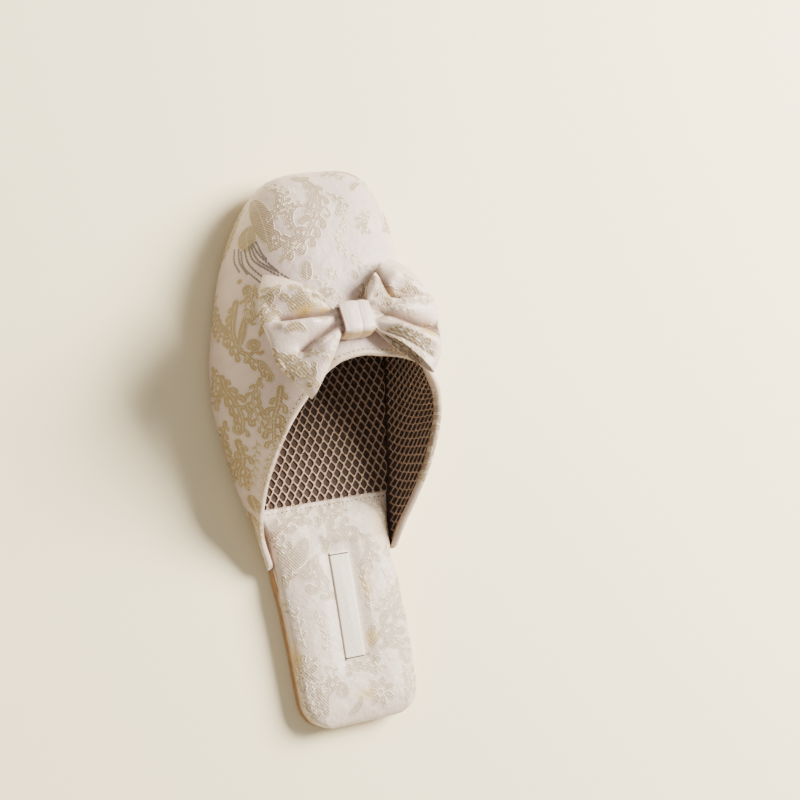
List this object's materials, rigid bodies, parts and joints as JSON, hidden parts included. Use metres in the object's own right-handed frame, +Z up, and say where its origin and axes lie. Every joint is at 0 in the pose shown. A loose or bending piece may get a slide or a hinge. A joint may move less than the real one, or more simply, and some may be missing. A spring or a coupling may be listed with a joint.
{
  "type": "mule slipper",
  "caption": "Flat closed-toe mule slipper with a padded heel seat, mesh-lined brocade upper and pinched ribbon bow on the vamp.",
  "frame": {"origin": "middle of the slipper's footprint, on the floor it stands on", "axes": "+Y to the toe, +X to the big-toe side of the left foot, +Z up"},
  "size_m": [0.0958, 0.2518, 0.0715],
  "materials": {
    "rubber": "matt tan rubber with a low sheen",
    "board_cover": "smooth cream cloth wrapped round the board",
    "lining_mesh": "beige open mesh over a dark brown backing",
    "brocade": "pale satin brocade with olive-gold scrolls",
    "binding": "smooth cream cloth edge",
    "label": "blank woven ribbon"
  },
  "bodies": {
    "root": {"outsole": "rubber", "insole_board": "board_cover", "mesh_footbed": "lining_mesh", "heel_pad": "brocade", "label_tab": "label", "upper": "brocade", "collar_binding": "binding", "bow_loop_lateral": "brocade", "bow_loop_medial": "brocade", "bow_knot": "brocade"}
  },
  "joints": []
}
